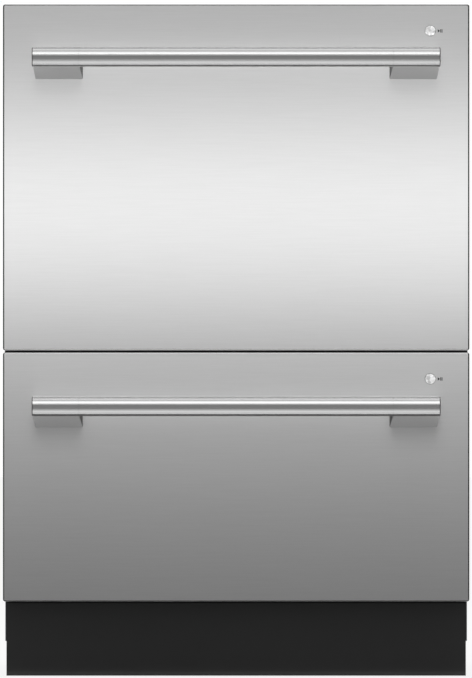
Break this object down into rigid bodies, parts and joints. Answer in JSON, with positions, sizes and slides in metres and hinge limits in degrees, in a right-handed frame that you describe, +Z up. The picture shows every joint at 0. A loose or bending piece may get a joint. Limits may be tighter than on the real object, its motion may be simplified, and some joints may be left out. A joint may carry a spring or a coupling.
{
  "type": "two-drawer dishwasher",
  "caption": "Built-in dishwasher with a tall and a short pull-out wash drawer, steel fronts, round bar handles and a recessed kick plate.",
  "frame": {"origin": "on the floor at the centre of the outline, both drawers shut and the feet wound in", "axes": "+X to the viewer's right, -Y out of the fronts towards the viewer, +Z up"},
  "size_m": [0.599, 0.633, 0.864],
  "materials": {
    "brushed_stainless": "horizontal brushing, satin",
    "handle_stainless": "fine turned satin",
    "start_button_metal": "fine satin plating",
    "black_gloss": "gloss",
    "black_matte": "satin",
    "kick_black": "satin black paint",
    "galvanised": "zinc-coated sheet",
    "rail_steel": "bright zinc plating",
    "tub_white": "satin moulded",
    "inner_grey": "fine texture",
    "lid_grey": "fine texture",
    "rubber_grey": "matt",
    "rack_grey": "nylon-coated wire",
    "basket_grey": "satin moulded",
    "filter_grey": "satin moulded",
    "dispenser_grey": "gloss",
    "door_grey": "gloss",
    "cap_blue": "gloss",
    "arm_grey": "satin moulded",
    "motor_black": "matt",
    "foot_zinc": "bright zinc plating",
    "valve_white": "matt"
  },
  "bodies": {
    "cabinet": {"side_panel_left": "galvanised", "side_panel_right": "galvanised", "top_panel": "galvanised", "back_panel": "galvanised", "base_pan": "galvanised", "middle_shelf": "galvanised", "front_trim": "black_matte", "toe_kick": "kick_black", "fixed_rails": "rail_steel", "lid_actuators": "valve_white", "water_inlet_valve": "valve_white", "drain_connector": "basket_grey", "power_inlet": "black_matte"},
    "foot_front_left": {"foot_front_left": "foot_zinc"},
    "foot_front_right": {"foot_front_right": "foot_zinc"},
    "foot_back_left": {"foot_back_left": "foot_zinc"},
    "foot_back_right": {"foot_back_right": "foot_zinc"},
    "upper_lid": {"upper_lid": "lid_grey", "upper_lid_seal": "rubber_grey"},
    "upper_mid_rails": {"upper_mid_rails": "rail_steel"},
    "upper_drawer": {"upper_tub": "tub_white", "upper_inner_front": "inner_grey", "upper_front_panel": "brushed_stainless", "upper_handle_bar": "handle_stainless", "upper_handle_posts": "handle_stainless", "upper_control_strip": "black_gloss", "upper_dispenser": "dispenser_grey", "upper_filter_plate": "filter_grey", "upper_rack": "rack_grey", "upper_cutlery_basket": "basket_grey", "upper_tub_rails": "rail_steel", "upper_wash_motor": "motor_black"},
    "upper_start_button": {"upper_start_button": "start_button_metal"},
    "upper_dispenser_door": {"upper_dispenser_door": "door_grey"},
    "upper_rinse_aid_cap": {"upper_rinse_aid_cap": "cap_blue"},
    "upper_spray_arm": {"upper_spray_arm": "arm_grey"},
    "upper_drain_filter": {"upper_drain_filter": "filter_grey"},
    "upper_folding_tines": {"upper_folding_tines": "rack_grey"},
    "lower_lid": {"lower_lid": "lid_grey", "lower_lid_seal": "rubber_grey"},
    "lower_mid_rails": {"lower_mid_rails": "rail_steel"},
    "lower_drawer": {"lower_tub": "tub_white", "lower_inner_front": "inner_grey", "lower_front_panel": "brushed_stainless", "lower_handle_bar": "handle_stainless", "lower_handle_posts": "handle_stainless", "lower_control_strip": "black_gloss", "lower_dispenser": "dispenser_grey", "lower_filter_plate": "filter_grey", "lower_rack": "rack_grey", "lower_cutlery_basket": "basket_grey", "lower_tub_rails": "rail_steel", "lower_wash_motor": "motor_black"},
    "lower_start_button": {"lower_start_button": "start_button_metal"},
    "lower_dispenser_door": {"lower_dispenser_door": "door_grey"},
    "lower_rinse_aid_cap": {"lower_rinse_aid_cap": "cap_blue"},
    "lower_spray_arm": {"lower_spray_arm": "arm_grey"},
    "lower_drain_filter": {"lower_drain_filter": "filter_grey"},
    "lower_folding_tines": {"lower_folding_tines": "rack_grey"},
    "upper_cup_shelf": {"upper_cup_shelf": "rack_grey"}
  },
  "joints": [
    {"name": "foot_front_left_height", "type": "slide", "parent": "cabinet", "child": "foot_front_left", "axis": [0, 0, -1], "range_m": [0, 0.045]},
    {"name": "foot_front_right_height", "type": "slide", "parent": "cabinet", "child": "foot_front_right", "axis": [0, 0, -1], "range_m": [0, 0.045]},
    {"name": "foot_back_left_height", "type": "slide", "parent": "cabinet", "child": "foot_back_left", "axis": [0, 0, -1], "range_m": [0, 0.045]},
    {"name": "foot_back_right_height", "type": "slide", "parent": "cabinet", "child": "foot_back_right", "axis": [0, 0, -1], "range_m": [0, 0.045]},
    {"name": "upper_drawer_slide", "type": "slide", "parent": "cabinet", "child": "upper_drawer", "axis": [0, -1, 0], "range_m": [0, 0.48]},
    {"name": "upper_runner_slide", "type": "slide", "parent": "cabinet", "child": "upper_mid_rails", "axis": [0, -1, 0], "range_m": [0, 0.24]},
    {"name": "upper_lid_drop", "type": "slide", "parent": "cabinet", "child": "upper_lid", "axis": [0, 0, -1], "range_m": [0, 0.008]},
    {"name": "upper_start_press", "type": "slide", "parent": "upper_drawer", "child": "upper_start_button", "axis": [0, 1, 0], "range_m": [0, 0.0012], "stiffness_N_per_m": 800},
    {"name": "upper_spray_spin", "type": "hinge", "parent": "upper_drawer", "child": "upper_spray_arm", "pos_m": [0, 0.0115, 0.498], "axis": [0, 0, 1], "continuous": true},
    {"name": "upper_dispenser_slide", "type": "slide", "parent": "upper_drawer", "child": "upper_dispenser_door", "axis": [1, 0, 0], "range_m": [0, 0.068]},
    {"name": "upper_rinse_cap_turn", "type": "hinge", "parent": "upper_drawer", "child": "upper_rinse_aid_cap", "pos_m": [0.079, -0.2145, 0.75], "axis": [0, -1, 0], "range_deg": [0, 90]},
    {"name": "upper_filter_turn", "type": "hinge", "parent": "upper_drawer", "child": "upper_drain_filter", "pos_m": [0, -0.1185, 0.481], "axis": [0, 0, 1], "range_deg": [0, 90]},
    {"name": "upper_tines_fold", "type": "hinge", "parent": "upper_drawer", "child": "upper_folding_tines", "pos_m": [-0.145, 0.0255, 0.534], "axis": [0, -1, 0], "range_deg": [0, 85]},
    {"name": "lower_drawer_slide", "type": "slide", "parent": "cabinet", "child": "lower_drawer", "axis": [0, -1, 0], "range_m": [0, 0.48]},
    {"name": "lower_runner_slide", "type": "slide", "parent": "cabinet", "child": "lower_mid_rails", "axis": [0, -1, 0], "range_m": [0, 0.24]},
    {"name": "lower_lid_drop", "type": "slide", "parent": "cabinet", "child": "lower_lid", "axis": [0, 0, -1], "range_m": [0, 0.008]},
    {"name": "lower_start_press", "type": "slide", "parent": "lower_drawer", "child": "lower_start_button", "axis": [0, 1, 0], "range_m": [0, 0.0012], "stiffness_N_per_m": 800},
    {"name": "lower_spray_spin", "type": "hinge", "parent": "lower_drawer", "child": "lower_spray_arm", "pos_m": [0, 0.0115, 0.1715], "axis": [0, 0, 1], "continuous": true},
    {"name": "lower_dispenser_slide", "type": "slide", "parent": "lower_drawer", "child": "lower_dispenser_door", "axis": [1, 0, 0], "range_m": [0, 0.068]},
    {"name": "lower_rinse_cap_turn", "type": "hinge", "parent": "lower_drawer", "child": "lower_rinse_aid_cap", "pos_m": [0.079, -0.2145, 0.303], "axis": [0, -1, 0], "range_deg": [0, 90]},
    {"name": "lower_filter_turn", "type": "hinge", "parent": "lower_drawer", "child": "lower_drain_filter", "pos_m": [0, -0.1185, 0.1545], "axis": [0, 0, 1], "range_deg": [0, 90]},
    {"name": "lower_tines_fold", "type": "hinge", "parent": "lower_drawer", "child": "lower_folding_tines", "pos_m": [-0.145, 0.0255, 0.2075], "axis": [0, -1, 0], "range_deg": [0, 85]},
    {"name": "upper_cup_shelf_fold", "type": "hinge", "parent": "upper_drawer", "child": "upper_cup_shelf", "pos_m": [-0.253, 0.0255, 0.647], "axis": [0, -1, 0], "range_deg": [0, 80]}
  ],
  "couplings": [
    {"joint": "upper_runner_slide", "follows": "upper_drawer_slide", "ratio": 0.5},
    {"joint": "lower_runner_slide", "follows": "lower_drawer_slide", "ratio": 0.5}
  ]
}
